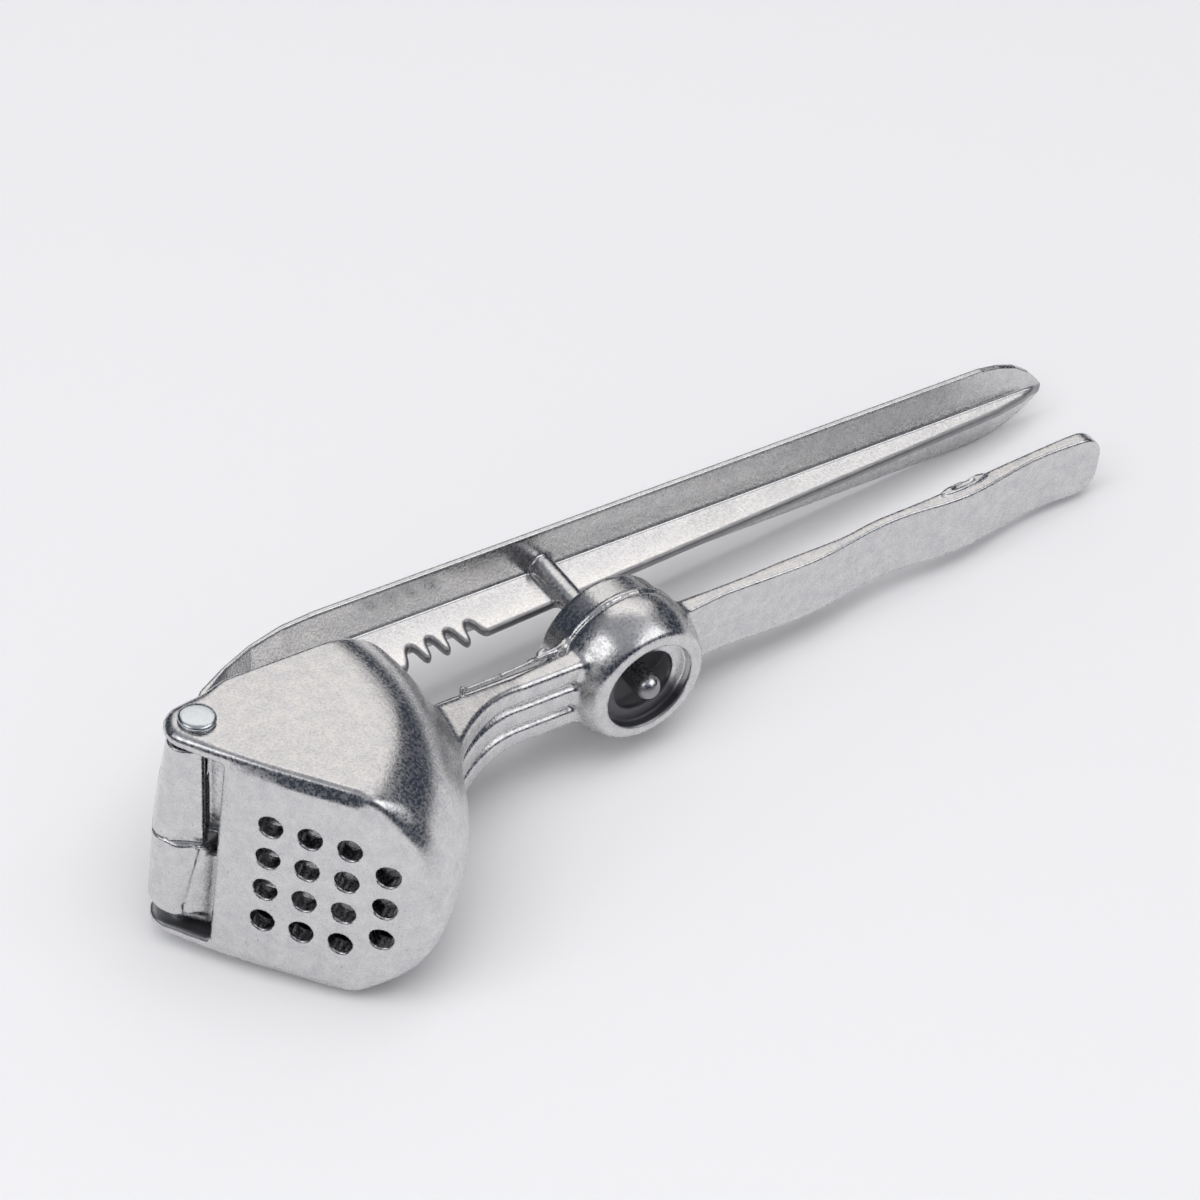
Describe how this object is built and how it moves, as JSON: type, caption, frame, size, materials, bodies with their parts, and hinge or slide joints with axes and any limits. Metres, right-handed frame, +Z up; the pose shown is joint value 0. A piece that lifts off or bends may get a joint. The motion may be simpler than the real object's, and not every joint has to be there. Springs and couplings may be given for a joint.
{
  "type": "olive pitter and garlic press",
  "caption": "Die-cast hand press with two hinged levers, a perforated hopper with a plunger, and an olive cup that a pitting rod passes through.",
  "frame": {"origin": "middle of the hopper's lower side face, which the press rests on", "axes": "+X along the levers towards their tips, +Y towards the plunger lever, +Z up along the hinge axis"},
  "size_m": [0.1829, 0.0585, 0.0407],
  "materials": {
    "hopper_lever": "tumbled die-casting, satin with worn bright edges",
    "plunger_lever": "tumbled die-casting, satin",
    "hinge_rivet": "plated steel, bright"
  },
  "bodies": {
    "hopper_side": {"hopper_lever": "hopper_lever", "hinge_rivet": "hinge_rivet"},
    "plunger_side": {"plunger_lever": "plunger_lever"}
  },
  "joints": [
    {"name": "lever_hinge", "type": "hinge", "parent": "hopper_side", "child": "plunger_side", "pos_m": [-0.016, 0.008, 0.0198], "axis": [0, 0, 1], "range_deg": [-4.5, 110]}
  ]
}
